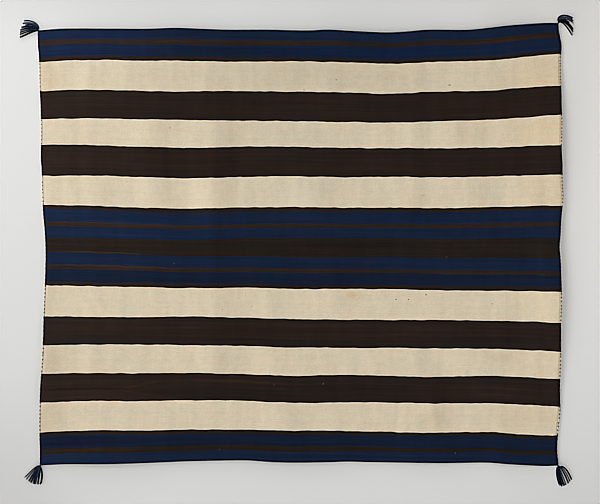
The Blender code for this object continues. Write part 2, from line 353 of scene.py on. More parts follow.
# one material and the nodes in it
class Finish:
    def __init__(self, name, roughness, specular):
        self.material = bpy.data.materials.new(name)
        self.material.use_nodes = True
        self.tree = self.material.node_tree
        self.shader = self.tree.nodes["Principled BSDF"]
        self.feed(self.shader.inputs["Roughness"], roughness)
        self.feed(self.shader.inputs["Specular IOR Level"], specular)

    def feed(self, socket, value):
        if isinstance(value, Value):
            self.tree.links.new(value.socket, socket)
        else:
            socket.default_value = value

    # any node: its type, its settings, what goes into its sockets and which output is used
    def node(self, kind, settings, inputs, output=0):
        made = self.tree.nodes.new("ShaderNode" + kind)
        for name, value in settings.items():
            if name == "stops":
                self.setStops(made.color_ramp, value)
            else:
                setattr(made, name, value)
        for name, value in inputs.items():
            self.feed(made.inputs[name], value)
        return Value(self, made.outputs[output])

    def setStops(self, ramp, stops):
        while len(ramp.elements) < len(stops):
            ramp.elements.new(1.0)
        for element, (place, colour) in zip(ramp.elements, stops):
            element.position = place
            element.color = (*colour, 1.0)

    # the two coordinates of a map
    def places(self, mapName):
        point = self.node("UVMap", {"uv_map": mapName}, {})
        return [self.node("SeparateXYZ", {}, {0: point}, k) for k in (0, 1)]

    def vector(self, x, y, z=0.0):
        return self.node("CombineXYZ", {}, {0: x, 1: y, 2: z})

    # noise that is finer the larger the counts are, each a number of patches in a metre
    def patches(self, x, y, perX, perY, detail=2.0, seed=0.0):
        place = self.vector(x * perX, y * perY, seed)
        return self.node("TexNoise", {}, {"Vector": place, "Scale": 1.0, "Detail": detail}, "Fac")

    def mixed(self, factor, first, second, way="MIX"):
        settings = {"data_type": "RGBA", "blend_type": way}
        first, second = [c if isinstance(c, Value) else (*c, 1.0) for c in (first, second)]
        return self.node("Mix", settings, {0: factor, 6: first, 7: second}, 2)

    def scaled(self, colour, factor):
        return self.node("VectorMath", {"operation": "SCALE"}, {0: colour, "Scale": factor})

    def finishWith(self, colour, height, depth):
        self.feed(self.shader.inputs["Base Color"], colour)
        bump = self.node("Bump", {}, {"Height": height, "Strength": 1.0, "Distance": depth})
        self.feed(self.shader.inputs["Normal"], bump)


# the stripes, as lines across the cloth

# every stripe from the bottom up: yarn, its flat place in the cloth and its two lines at every column
def layStripes(x):
    half = web["height"] / 2
    topLine = edgeShift("topEdge", x + web["width"] / 2) + half
    bottomLine = edgeShift("bottomEdge", x + web["width"] / 2) - half
    stripes = []
    upper, upperLevel = topLine, half
    for number, (yarn, level, shifts) in enumerate(broadStripes):
        if shifts is None:
            lower = bottomLine
        else:
            lower = (level + smoothThrough(lineStations, shifts, x / mm)) * mm
            for seed, size, reach in lineWander:
                lower = lower + unevenness(x, number + seed, size, reach)
        lowerLevel = level * mm
        parts = bandStripes.get(yarn, [(yarn, [1] * len(bandStations))])
        widths = np.array([smoothThrough(bandStations, part[1], x / mm) for part in parts])
        shares = np.vstack([np.zeros_like(x), np.cumsum(widths, 0) / widths.sum(0)])
        flatWidths = np.array([np.mean(part[1]) for part in parts])
        flatShares = np.concatenate([[0], np.cumsum(flatWidths) / flatWidths.sum()])
        lines = upper + (lower - upper) * shares
        flats = upperLevel + (lowerLevel - upperLevel) * flatShares + half
        for k, part in enumerate(parts):
            stripes.append([part[0], flats[k + 1], flats[k], lines[k + 1], lines[k]])
        upper, upperLevel = lower, lowerLevel
    # fine stripes inside a band waver a little on their own
    seed, size, reach = bandWander
    for k, (over, under) in enumerate(zip(stripes, stripes[1:]), seed + 1):
        if "cream" not in (over[0], under[0]):
            over[3] = under[4] = over[3] + unevenness(x, k, size, reach)
    return stripes[::-1]


columnShares = np.linspace(0, 1, web["columns"] + 1)
stripes = layStripes(web["width"] * (columnShares - 0.5))
print("stripes laid:", len(stripes))


# rows of the cloth from the bottom edge up: flat place and height at every column
def layRows():
    flat, heights = [], []
    for yarn, flatLow, flatHigh, low, high in stripes:
        count = max(2, int(round((flatHigh - flatLow) / web["rowHeight"])))
        for k in range(count):
            flat.append(flatLow + (flatHigh - flatLow) * k / count)
            heights.append(low + (high - low) * k / count)
    return np.array(flat + [flatHigh]), np.array(heights + [high])


rowPlaces, rowHeights = layRows()


# the web

folds = {
    # soft ridges: middle from the web's middle, reach along and across and rise in mm, lean in degrees
    "creases": [
        (-300, 200, 170, 64, 11.0), (-300, -370, 130, 62, 11.0), (-300, 440, 110, 60, 5.0),
        (-300, -120, 100, 60, 4.0), (-512, 220, 100, 50, 7.5, 2), (-512, 400, 70, 46, 5.5, 2),
        (-694, 190, 80, 40, 6.0), (-850, 393, 60, 40, 3.0), (-736, 560, 55, 36, 3.6),
        (-584, 590, 60, 42, 2.6), (50, 180, 85, 78, 9.0), (110, 560, 60, 46, 3.6),
        (-743, -196, 45, 11, 1.3, 28), (-690, -200, 50, 16, 2.6, 34), (-105, -200, 60, 34, 5.0),
        (107, -196, 65, 56, 6.5), (-712, -395, 60, 44, 4.6), (-100, -395, 60, 40, 4.2),
        (392, -395, 60, 44, 3.8), (600, -395, 60, 84, 6.5), (-66, -588, 60, 54, 6.0),
        (462, -585, 75, 32, 4.6, 14), (388, 400, 55, 38, 4.4), (535, 393, 55, 34, 4.2),
        (380, 190, 70, 44, 5.4), (590, 190, 65, 70, 6.0), (800, 190, 65, 60, 4.0),
    ],
    # how far the edges curl off the floor, in mm, from the left or lower corner
    "curl": {
        "topEdge": [(0, 0), (70, 3), (200, 7), (500, 7), (850, 10), (1250, 8), (1500, 6), (1700, 4),
                    (1786, 0)],
        "bottomEdge": [(0, 0), (70, 3), (200, 7), (800, 8), (1100, 6), (1500, 4), (1720, 2), (1786, 0)],
        "leftEdge": [(0, 0), (70, 3), (400, 5), (700, 3), (850, 0), (1500, 0)],
        "rightEdge": [(0, 0), (250, 1), (560, 4), (900, 4), (1200, 1), (1500, 0)],
    },
    "curlReach": 50 * mm,
    "ripple": 0.6 * mm,
    "lowest": -0.8 * mm,  # how far the face may dip under its own level between two folds
    "levelShare": 40,  # the creases start a fortieth of the web's width in from the cords
}


# the height of the cloth's underside: the part's low swells and the curl of its edges
def clothHeight(x, y):
    height = swellHeight(x, y)
    fromBottom = np.clip(y + web["height"] / 2, 0, web["height"])
    fromLeft = np.clip(x + web["width"] / 2, 0, web["width"])
    for edge, stations in folds["curl"].items():
        upright = edge in ("leftEdge", "rightEdge")
        along, inside = (fromBottom, fromLeft) if upright else (fromLeft, fromBottom)
        inside = inside - edgeShift(edge, along)
        if edge in ("rightEdge", "topEdge"):
            inside = web["width" if upright else "height"] - inside
        rise = smoothThrough(*zip(*stations), along / mm)
        height = height + np.maximum(rise, 0) * mm * np.exp(-(inside / folds["curlReach"]) ** 2)
    return height


# the main creases, as soft ridges
def creaseHeight(x, y):
    height = np.zeros_like(x)
    for centreX, centreY, length, width, rise, *turned in folds["creases"]:
        turn = math.radians(turned[0] if turned else 0)
        c, s = math.cos(turn), math.sin(turn)
        across = (x / mm - centreX) * c + (y / mm - centreY) * s
        along = -(x / mm - centreX) * s + (y / mm - centreY) * c
        height += rise * mm * np.exp(-(across / width) ** 2 - (along / length) ** 2)
    return height


# a fine ripple all over, in waves longer up the cloth than across it
def rippleHeight(x, y):
    flat = np.stack([x.ravel(), y.ravel()], 1)
    ripple = [noise.noise(Vector((a * 14, b * 5, 3.1))) + 0.5 * noise.noise(Vector((a * 34, b * 16, 9.4)))
              for a, b in flat]
    return np.array(ripple).reshape(x.shape) * folds["ripple"]


def makeWeb(material):
    rows, columns = rowHeights.shape
    x, y = clothX(columnShares, rowHeights), rowHeights
    swell = clothHeight(x, y)
    # the edges stay level with the cords beside them
    inset = np.minimum(np.minimum(columnShares, 1 - columnShares)[None, :] * folds["levelShare"], 1)
    relief = (creaseHeight(x, y) + rippleHeight(x, y)) * inset
    top = np.maximum(swell + relief, folds["lowest"]) + web["thickness"]
    under = np.maximum(swell + relief, 0)
    points = [np.stack([x + middleX, y + middleY, z], -1).reshape(-1, 3) for z in (top, under)]
    faces, weave, bake = [], [], []
    total = rows * columns

    def place(r, c):
        return (columnShares[c] * web["width"], rowPlaces[r])

    # the bake's map: the face on the left, the back on the right, and the rim beside the face
    faceShare, pad, rimWidth = 0.60, 0.006, 0.004

    def baked(r, c, back, out=0.0):
        u, v = columnShares[c], r / (rows - 1)
        left, right = (faceShare + pad, 1 - pad) if back else (pad, faceShare - pad)
        at = [left + (right - left) * u, pad + (1 - 2 * pad) * v]
        if out:
            at[0] += {0: -out, columns - 1: out}.get(c, 0)
            at[1] += {0: -out, rows - 1: out}.get(r, 0)
        return tuple(at)

    for r in range(rows - 1):
        for c in range(columns - 1):
            face = [(r, c), (r, c + 1), (r + 1, c + 1), (r + 1, c)]
            for back, corners in enumerate((face, [face[k] for k in (0, 3, 2, 1)])):
                faces.append([row * columns + column + back * total for row, column in corners])
                weave += [place(*at) for at in corners]
                bake += [baked(*at, back) for at in corners]
    rim = ([(0, c) for c in range(columns)] + [(r, columns - 1) for r in range(1, rows)]
           + [(rows - 1, c) for c in range(columns - 2, -1, -1)] + [(r, 0) for r in range(rows - 2, 0, -1)])
    for here, there in zip(rim, rim[1:] + rim[:1]):
        a, b = here[0] * columns + here[1], there[0] * columns + there[1]
        faces.append((a, a + total, b + total, b))
        weave += [place(*here), place(*here), place(*there), place(*there)]
        bake += [baked(*here, 0), baked(*here, 0, rimWidth), baked(*there, 0, rimWidth), baked(*there, 0)]
    points = np.concatenate(points).tolist()
    return makePiece("stripedWeb", points, faces, {"weave": weave, "OFBake": bake}, material)


weaveLook = {
    "ribPitch": 2.8 * mm,  # from one warp to the next
    "pipPitch": 1.15 * mm,  # from one weft turn to the next on the same warp
    "depth": 0.35 * mm,
    "grooveShade": 0.26,
    "roughness": 0.93,
    "specular": 0.04,
    # how much the tone changes from weft to weft and along the warps, on the dark stripes and on cream
    "streaks": (0.58, 0.08),
    "uprights": (0.42, 0.23),
    # and on both in soft blotches, in grains and between single fibres
    "blotches": 0.15,
    "grains": 0.22,
    "heather": 0.22,
    "paintedLeftLight": 0.28,  # how much lighter the dark stripes are painted at the left end, painted light as from the lamp on the left
    # patches of other dye, handling and wear, and a few of painted shade: middle from the web's middle and
    # reach each way in mm, what they leave of red, green and blue, and for a few a lean in degrees
    "patches": [
        # cream: a greyer middle at the top in painted shade, where the light falls off, and warmer ends at
        # the right
        (170, 592, 430, 90, (0.945, 0.94, 0.935)), (-215, 395, 60, 90, (0.98, 0.965, 0.95)),
        (860, 592, 230, 90, (1.02, 0.96, 0.89)), (870, 393, 230, 90, (1.03, 0.97, 0.89)),
        (870, 191, 230, 90, (1.0, 0.965, 0.91)), (870, -196, 190, 80, (1.0, 0.98, 0.93)),
        (820, -400, 200, 80, (0.985, 0.965, 0.94)), (800, -588, 200, 80, (0.97, 0.95, 0.93)),
        (-150, 592, 620, 100, (0.925, 0.925, 0.925)), (-160, 395, 330, 80, (0.94, 0.95, 0.955)),
        (0, 192, 150, 80, (0.925, 0.955, 0.965)),
        # the left ends of the creams: the top one browner, the two lowest darker in painted shade where the
        # edge turns from the light
        (-860, 590, 70, 80, (0.96, 0.93, 0.89)), (-870, -590, 60, 80, (0.94, 0.92, 0.9)),
        (-870, -395, 60, 80, (0.96, 0.94, 0.92)), (600, 393, 90, 70, (0.97, 0.95, 0.92)),
        (40, -380, 70, 10, (0.97, 0.97, 0.95)), (680, -380, 60, 22, (0.96, 0.95, 0.91)),
        (455, -600, 55, 60, (0.94, 0.93, 0.9), -20), (170, -164, 24, 15, (0.97, 0.9, 0.86)),
        (185, -168, 60, 26, (0.985, 0.955, 0.92)),
        # specks and small spots on the cream
        (323, -181, 3.5, 3.5, (0.36, 0.32, 0.3)), (366, -181, 3.5, 3.5, (0.36, 0.32, 0.3)),
        (427, -165, 3.5, 3.5, (0.22, 0.19, 0.18)), (656, -196, 3.5, 3.5, (0.62, 0.56, 0.52)),
        (-278, -215, 4, 4, (0.78, 0.74, 0.7)), (-177, -206, 4, 4, (0.78, 0.74, 0.7)),
        (124, 578, 4, 4, (0.62, 0.57, 0.54)), (12, 543, 4, 3, (0.62, 0.58, 0.55)),
        (-604, 225, 4, 4, (0.84, 0.8, 0.76)), (513, 559, 7, 4, (0.52, 0.44, 0.37)),
        (416, 178, 7, 4, (0.9, 0.85, 0.78)), (-856, 594, 4, 4, (0.86, 0.8, 0.78)),
        (-452, 412, 5, 5, (0.8, 0.74, 0.68)),
        # burrs and a few pale hairs in the dark stripes
        (-449, -57, 4, 4, (3.0, 3.4, 2.6)), (501, -35, 4, 4, (2.6, 2.8, 2.4)),
        (-274, -698, 4, 3, (5.0, 5.0, 4.4)), (542, -710, 3, 6, (3.6, 3.6, 3.2)),
        (-91, -477, 4, 8, (2.0, 2.0, 1.9)), (79, -472, 3, 4, (4.5, 4.5, 4.0)),
        # another spindle of brown in the lowest brown stripe, laid in as long wedges
        (-730, -490, 330, 80, (1.14, 1.03, 1.0)), (-760, -489, 250, 7, (0.7, 0.76, 0.8)),
        (-250, -503, 330, 34, (0.8, 0.93, 0.95), -1), (-230, -462, 270, 9, (1.42, 1.32, 1.05)),
        (-545, -474, 90, 7, (1.35, 1.25, 1.05), 10), (-500, -515, 170, 10, (1.25, 1.08, 1.0), -11),
        (220, -490, 330, 40, (0.86, 0.95, 0.98)), (620, -485, 270, 9, (1.26, 1.12, 1.02), -1),
        (680, -512, 250, 12, (1.2, 1.1, 1.0), -2), (700, -452, 240, 10, (0.86, 0.96, 1.0), -2),
        # the other brown stripes
        (-640, -275, 330, 22, (1.14, 1.03, 1.0)), (-760, -325, 260, 24, (0.8, 0.93, 1.0)),
        (-380, -276, 80, 12, (1.2, 1.15, 1.02)), (40, -268, 330, 8, (1.35, 1.08, 0.96)),
        (-120, -330, 240, 20, (0.88, 0.97, 1.0)), (220, -300, 300, 8, (1.22, 1.1, 0.98)),
        (520, -286, 330, 10, (1.3, 1.12, 1.0), -1), (620, -325, 300, 22, (0.82, 0.93, 0.98)),
        (240, 480, 200, 30, (0.86, 0.98, 1.0)), (620, 475, 220, 50, (1.12, 0.98, 0.98)),
        (300, 310, 280, 18, (0.9, 0.97, 1.02)), (250, 265, 330, 18, (1.14, 1.02, 0.96)),
        (-700, 300, 300, 50, (1.08, 1.0, 0.98)),
        # the thin stripes: brighter rust at the left, a tan yarn under the middle brown
        (-700, -19, 230, 5, (1.85, 1.55, 1.4)), (-640, -68, 270, 12, (1.55, 1.3, 1.12)),
        (-620, 80, 330, 14, (1.3, 1.12, 1.02)), (-420, 709, 110, 8, (1.55, 1.2, 0.85)),
        (-110, 706, 200, 12, (1.12, 1.05, 0.95)), (240, 700, 160, 16, (0.8, 0.94, 1.0)),
        (740, 720, 160, 12, (1.3, 1.05, 0.85)), (560, 700, 100, 12, (1.15, 1.0, 0.9)),
        (-640, 25, 330, 36, (1.05, 1.04, 1.0)), (180, 10, 330, 26, (0.84, 0.9, 0.92)),
        # the blues
        (-190, 678, 330, 34, (0.8, 0.84, 0.84)), (-780, -673, 220, 32, (0.86, 0.76, 0.8)),
        (-130, 731, 300, 26, (0.88, 0.94, 0.92)),
        (-700, 695, 290, 90, (1.02, 1.04, 1.14)), (300, 670, 600, 34, (0.74, 0.92, 1.06)),
        (-480, 60, 420, 60, (1.0, 1.06, 1.1)), (350, 90, 500, 26, (0.9, 1.0, 1.06)),
    ],
}


# where a point of the cloth lies in its weave
def weavePlace(x, y):
    column = int(round((x * mm / web["width"] + 0.5) * web["columns"]))
    column = min(max(column, 0), web["columns"])
    return x * mm + web["width"] / 2, float(np.interp(y * mm, rowHeights[:, column], rowPlaces))


# 1 in the middle of a patch, 0 from its reach on; an unturned one takes less of the shader's room
def patchMask(wool, place, x, y, reachX, reachY, turn=0):
    along, across = weavePlace(x, y)
    if turn:
        sockets = {"Vector": place, "Location": (along, across, 0), "Rotation": (0, 0, math.radians(turn)),
                   "Scale": (reachX * mm, reachY * mm, 1)}
        inside = wool.node("Mapping", {"vector_type": "TEXTURE"}, sockets)
    else:
        perX, perY = 1 / (reachX * mm), 1 / (reachY * mm)
        inside = wool.node("VectorMath", {"operation": "MULTIPLY_ADD"},
                           {0: place, 1: (perX, perY, 0), 2: (-along * perX, -across * perY, 0)})
    return wool.node("VectorMath", {"operation": "LENGTH"}, {0: inside}, "Value").fade(1.0, 0.25)


def makeWebFinish():
    wool = Finish("stripedWool", weaveLook["roughness"], weaveLook["specular"])
    along, across = wool.places("weave")
    jag = (wool.patches(along, across, 320, 40, seed=5.0) - 0.5) * (0.9 * mm)
    dyed = yarns[stripes[0][0]]
    for stripe in stripes[1:]:
        dyed = wool.mixed(across + jag > stripe[1], dyed, yarns[stripe[0]])
    red, blue = [wool.node("SeparateColor", {}, {0: dyed}, k) for k in (0, 2)]
    isCream = red > 0.3
    isBlue = blue > red
    isBrown = (1.0 - isCream) * (1.0 - isBlue)

    # streaks of single wefts, of whole spindles of yarn, and soft patches
    fine = wool.patches(along, across, 3.0, 520, 3.0, 1.0) - 0.5
    broad = wool.patches(along, across, 1.6, 95, 2.0, 2.0) - 0.5
    upright = wool.patches(along, across, 24, 5, 2.0, 3.0) - 0.5
    blotch = wool.patches(along, across, 46, 62, 3.0, 8.0) - 0.5
    grain = wool.patches(along, across, 210, 240, 2.0, 9.0) - 0.5
    heather = wool.patches(along, across, 700, 1400, 1.0, 4.0) - 0.5
    streakSize, uprightSize = [onDark + (onCream - onDark) * isCream
                               for onDark, onCream in (weaveLook["streaks"], weaveLook["uprights"])]
    tone = 1.0 + (fine * 0.9 + broad) * streakSize + upright * uprightSize
    tone = tone + blotch * weaveLook["blotches"] + grain * weaveLook["grains"]
    tone = tone + heather * weaveLook["heather"]

    # the relief of the weave: upright ribs of pips, each rib half a pip off its neighbour
    cell = along / weaveLook["ribPitch"] + (wool.patches(along, across, 30, 18, seed=6.0) - 0.5) * 0.8
    offset = (cell.whole() * 0.5).fraction()
    pip = (across / weaveLook["pipPitch"] + offset + fine * 0.4).fraction()
    ribRise = (cell.fraction() * math.pi).sine()
    pipRise = (pip * math.pi).sine()
    relief = ribRise ** 0.6 * (0.45 + 0.55 * pipRise ** 0.6)
    tone = tone * (1.0 - weaveLook["grooveShade"] * (1.0 - relief))

    # painted light: the dark stripes brighter towards the left end, as lit from the left; and painted
    # shade: the whole web a little darker towards the upper end
    leftLitShare = along.fade(0.55, 0.0) * (1.0 - isCream)
    tone = tone * (1.0 + weaveLook["paintedLeftLight"] * leftLitShare) * (1.015 - across * 0.024)
    colour = wool.scaled(dyed, tone)

    # hues that change from spindle to spindle, as reddish and olive browns, violet and teal blues, rosy
    # and dull creams: mask, counts in a metre, seed, where the noise starts and stops to rise, and tint
    hues = [
        (isBrown, 2.4, 130, 7.0, 0.52, 0.68, (1.16, 0.98, 0.9)),
        (isBrown, 3.0, 46, 11.0, 0.5, 0.66, (0.84, 0.97, 0.98)),
        (isBlue, 5.0, 120, 12.0, 0.5, 0.66, (1.3, 0.97, 1.06)),
        (isBlue, 6.0, 110, 13.0, 0.5, 0.66, (0.8, 1.1, 0.96)),
        (isCream, 9.0, 60, 14.0, 0.42, 0.7, (1.035, 0.985, 0.965)),
        (isCream, 7.0, 90, 15.0, 0.5, 0.72, (1.0, 0.995, 0.955)),
    ]
    for mask, perX, perY, seed, low, high, tint in hues:
        share = wool.patches(along, across, perX, perY, 2.0, seed).fade(low, high) * mask
        colour = wool.mixed(share * 0.8, colour, tint, "MULTIPLY")
    place = wool.vector(along, across + fine * (9 * mm))
    for x, y, reachX, reachY, tint, *turned in weaveLook["patches"]:
        colour = wool.mixed(patchMask(wool, place, x, y, reachX, reachY, *turned), colour, tint, "MULTIPLY")
    wool.finishWith(colour, relief + heather * 0.3, weaveLook["depth"])
    return wool.material


webFinish = makeWebFinish()
webPiece = makeWeb(webFinish)
print("web made:", len(webPiece.data.polygons), "faces")


# the cords along the edges, and the wefts that turn round them

cords = {
    "radius": 2.0 * mm,
    "gap": -0.4 * mm,
    "knotAside": 4.2 * mm,
    "knotBeyond": 6.4 * mm,
    "knotRadius": 4.2 * mm,
    "sideYarn": (3, 0.9, 0.85, 24, 14, 7),  # as addYarn has it
    "endYarn": (2, 1.02, 0.95, 13, 10, 7),
    # from one turn of the weft round the cord to the next, at the lower and the upper end, and the share
    # of it that the turn covers there
    "turns": {"left": (13.6 * mm, 13.0 * mm, 0.49, 0.88), "right": (13.8 * mm, 10.6 * mm, 0.57, 0.50)},
    "turnRadius": 2.35 * mm,
    "turnEnd": 1.5 * mm,  # its radius where it closes on the cord
    "turnSteps": 9,
    "turnSides": 10,
    "turnEdge": 1.2 * mm,  # how far in from the web's edge its colour is taken
    "turnsStart": 2 * mm,  # from the lower end of the cord
    "turnsStop": 8 * mm,  # before its upper end
    "twist": 3.2 * mm,  # from one turn of the fibres in a ply to the next
    "colour": (0.0095, 0.0108, 0.0170),
}


# the points of the web's edge, on its underside, in the part's frame
def edgePoints(side):
    if side in ("left", "right"):
        column = 0 if side == "left" else -1
        heights = np.linspace(rowHeights[0][column], rowHeights[-1][column], 301)
        x = clothX(columnShares[column], heights)
    else:
        heights = rowHeights[0 if side == "bottom" else -1]
        x = clothX(columnShares, heights)
    return np.stack([x + middleX, heights + middleY, clothHeight(x, heights)], 1)


# the middle of a corner's knot; a corner is 0 or 1 for left or right, and for bottom or top
def knotPlace(corner):
    right, top = corner
    y = rowHeights[-top][-right]
    x = clothX(right, y)
    return Vector((x + middleX + (2 * right - 1) * cords["knotAside"],
                   y + middleY + (2 * top - 1) * cords["knotBeyond"], cords["knotRadius"]))


# the middle line of a cord beside its edge
def cordLine(side):
    edge = edgePoints(side)
    run = np.gradient(edge, axis=0)
    away = np.stack([run[:, 1], -run[:, 0]], 1) / np.linalg.norm(run[:, :2], axis=1)[:, None]
    if side in ("left", "top"):
        away = -away
    line = edge.copy()
    line[:, :2] += away * (cords["radius"] + cords["gap"])
    line[:, 2] += cords["radius"]
    return line


# the cord with its ends led into the knots
def ledToKnots(side, line):
    corners = {"left": ((0, 0), (0, 1)), "right": ((1, 0), (1, 1)),
               "bottom": ((0, 0), (1, 0)), "top": ((0, 1), (1, 1))}
    first, last = [np.array(knotPlace(corner)) for corner in corners[side]]
    first[2] = last[2] = cords["radius"] * 1.3
    return np.vstack([first, line, last])


def makeCordFinish():
    wool = Finish("twinedCordWool", 0.9, 0.05)
    along, around = wool.places("yarn")
    twist = ((along / cords["twist"] + around) * (2 * math.pi)).sine()
    fibres = wool.patches(along, around * 0.01, 900, 700) - 0.5
    base = wool.node("CombineColor", {}, dict(enumerate(cords["colour"])))
    colour = wool.scaled(base, 1.0 + twist * 0.22 + fibres * 0.5)
    wool.finishWith(colour, twist * 0.5 + fibres * 0.6, 0.25 * mm)
    return wool.material


cordFinish = makeCordFinish()
cordPieces = {}
for side in ("left", "right", "bottom", "top"):
    maker = Maker()
    yarn = cords["sideYarn" if side in ("left", "right") else "endYarn"]
    addYarn(maker, ledToKnots(side, cordLine(side)), yarn)
    cordPieces[side] = maker.make("twinedCord" + side.capitalize(), cordFinish, "yarn")
print("cords made")


# weft-covered lengths of the side cords, coloured as the stripe they belong to
def makeWeftTurns(side):
    maker = Maker()
    line, places = evenly(cordLine(side), 1.0 * mm)
    flat = np.interp(line[:, 1] - middleY, rowHeights[:, 0 if side == "left" else -1], rowPlaces)
    edge = cords["turnEdge"] if side == "left" else web["width"] - cords["turnEdge"]
    sides = cords["turnSides"]
    share = np.linspace(0, 1, cords["turnSteps"])
    # a turn lies in four ridges of weft, and its ends close on the cord
    ridged = 0.2 * mm * np.abs(np.sin(4 * math.pi * share)) + cords["turnRadius"]
    closed = np.maximum(np.sin(math.pi * share), 0) ** 0.4
    swell = cords["turnEnd"] + (ridged - cords["turnEnd"]) * closed
    lowPitch, highPitch, lowShare, highShare = cords["turns"][side]
    at = cords["turnsStart"]
    number = 0
    while at < places[-1] - cords["turnsStop"]:
        number += 1
        jitter = noise.noise(Vector((number * 0.71, 2.0 if side == "left" else 8.0, 0)))
        reached = at / places[-1]
        pitch = lowPitch + (highPitch - lowPitch) * reached
        size = pitch * (lowShare + (highShare - lowShare) * reached) * (1 + 0.9 * jitter)
        spots = at + size * share
        centre = np.stack([np.interp(spots, places, line[:, k]) for k in range(3)], 1)
        rings = ringsAlong(centre, swell, sides)
        rings[:, :, 2] = np.maximum(rings[:, :, 2], 0.02 * mm)  # a turn stays off the floor
        maps = [[(edge + 0.3 * mm * math.cos(2 * math.pi * s / sides), level) for s in range(sides + 1)]
                for level in np.interp(spots, places, flat)]
        maker.addRings(rings, maps)
        at += pitch * (1 + 0.5 * jitter)
    return maker.make("weftTurns" + side.capitalize(), webFinish, "weave")


turnPieces = {side: makeWeftTurns(side) for side in ("left", "right")}
print("weft turns made")


# the tassels

tassels = {
    "points": 14,
    "spacing": 1.5 * mm,  # between neighbours in a lock, which lie in two layers
    "layer": 1.9 * mm,
    "yarn": (2, 0.66, 0.56, 7.5, 8, 6),
    "fray": 0.7,
    "twist": 2.4 * mm,
    "knotYarn": (2, 0.8, 0.7, 6, 8, 6),
    # the loops of a knot: tilt and turn in degrees, and radius in mm
    "knotLoops": [(0, 0, 3.0), (62, 20, 3.1), (58, 140, 3.0), (66, 255, 3.1), (90, 80, 2.6)],
    "knotTone": 0.25,
    # corner, where the first and the last lock leave the knot, then locks: strands, tone from black to
    # pale slate, two handles and a tip, all in mm from the knot
    "corners": {
        "top_left": ((0, 1), (5, 5), (-2, -5), [
            (3, 0.82, (0, 14), (-16, 35), (-46, 30)), (4, 0.86, (-1, 13), (-22, 28), (-50, 20)),
            (4, 0.5, (-2, 12), (-24, 23), (-42, 13)), (4, 0.4, (-4, 10), (-26, 14), (-55, 7)),
            (4, 0.3, (-6, 7), (-28, 8), (-59, -2)), (3, 0.62, (-8, 5), (-30, 2), (-60, -10)),
            (3, 0.25, (-10, 4), (-30, -4), (-61, -18)), (4, 0.05, (-10, 0), (-32, -13), (-60, -28)),
        ]),
        "top_right": ((1, 1), (-3, 3), (5, -2), [
            (4, 0.15, (-6, 20), (18, 32), (47, 12)), (3, 0.8, (-3, 16), (20, 24), (49, 4)),
            (2, 0.6, (0, 13), (24, 18), (51, -4)), (2, 0.35, (2, 11), (20, 14), (36, -3)),
            (4, 0.2, (3, 9), (28, 10), (48, -26)), (4, 0.08, (5, 7), (27, 3), (49, -33)),
            (3, 0.3, (6, 4), (24, -8), (46, -46)),
        ]),
        "bottom_left": ((0, 0), (-3, 2), (4, -3), [
            (2, 0.1, (-12, 1), (-33, -20), (-52, -39)), (2, 0.15, (-11, 0), (-29, -25), (-46, -45)),
            (4, 0.68, (-9, -3), (-24, -28), (-37, -52)), (4, 0.3, (-7, -5), (-19, -30), (-30, -57)),
            (4, 0.45, (-5, -7), (-14, -32), (-22, -60)), (4, 0.72, (-4, -8), (-9, -34), (-16, -62)),
            (4, 0.2, (-1, -10), (-2, -36), (-7, -62)), (4, 0.15, (6, -14), (11, -38), (3, -62)),
        ]),
        "bottom_right": ((1, 0), (-4, -2), (7, 1), [
            (4, 0.45, (-7, -12), (-6, -44), (5, -65)), (4, 0.1, (-3, -13), (3, -44), (12, -68)),
            (4, 0.25, (0, -13), (10, -42), (19, -66)), (2, 0.74, (4, -11), (17, -38), (25, -63)),
            (3, 0.15, (9, -8), (25, -32), (34, -58)), (2, 0.7, (13, -4), (29, -26), (39, -51)),
            (3, 0.12, (17, 1), (34, -18), (45, -45)),
        ]),
    },
}


# the strands of one lock, side by side and fanned a little, in two layers
def lockLines(root, number, strands, handles):
    first, second, tip = [Vector((*point, 0)) * mm for point in handles]
    knot = Vector((*root[0], tassels["yarn"][1] * mm * 2))
    start = knot + Vector((*root[1], 0)) * mm
    bend = (start, start + first * 0.8, knot + second, knot + tip)
    middle = np.array(interpolate_bezier(*bend, tassels["points"]))
    t = np.linspace(0, 1, tassels["points"])
    run = np.gradient(middle, axis=0)
    aside = np.stack([-run[:, 1], run[:, 0]], 1) / np.linalg.norm(run[:, :2], axis=1)[:, None]
    lines = []
    for k in range(strands):
        line = middle.copy()
        fan = (k - (strands - 1) / 2) * tassels["spacing"] * (0.7 + 0.3 * np.minimum(t * 2, 1))
        line[:, :2] += aside * fan[:, None]
        line[:, 2] += tassels["layer"] * ((k % 2) + (number % 3) * (1 - t) ** 2)
        cut = 1 - 0.05 * ((number * 2 + k * 3) % 4) / 3
        lines.append(line[:max(3, int(round(len(line) * cut)))])
    return lines


def makeTasselFinish():
    wool = Finish("tasselWool", 0.88, 0.08)
    along, around = wool.places("yarn")
    tone = wool.node("Attribute", {"attribute_name": "tone"}, {}, "Fac")
    stops = [(0.0, (0.005, 0.005, 0.007)), (0.35, (0.007, 0.013, 0.029)), (0.7, (0.022, 0.040, 0.066)),
             (0.9, (0.060, 0.083, 0.112)), (1.0, (0.040, 0.036, 0.055))]
    dyed = wool.node("ValToRGB", {"stops": stops}, {0: tone})
    twist = ((along / tassels["twist"] + around) * (2 * math.pi)).sine()
    fibres = wool.patches(along, around * 0.006, 800, 900) - 0.5
    colour = wool.scaled(dyed, 1.0 + twist * 0.2 + fibres * 0.7)
    wool.finishWith(colour, twist * 0.4 + fibres * 0.7, 0.2 * mm)
    return wool.material


# a few loops of yarn round one middle
def addKnot(maker, centre):
    for tilt, turn, size in tassels["knotLoops"]:
        a, b = math.radians(tilt), math.radians(turn)
        first = Vector((math.cos(b), math.sin(b), 0))
        second = Vector((-math.sin(b) * math.cos(a), math.cos(b) * math.cos(a), math.sin(a)))
        turns = [2 * math.pi * k / 24 for k in range(25)]
        loop = [centre + (first * math.cos(t) + second * math.sin(t)) * size * mm for t in turns]
        addYarn(maker, loop, tassels["knotYarn"], tassels["knotTone"])


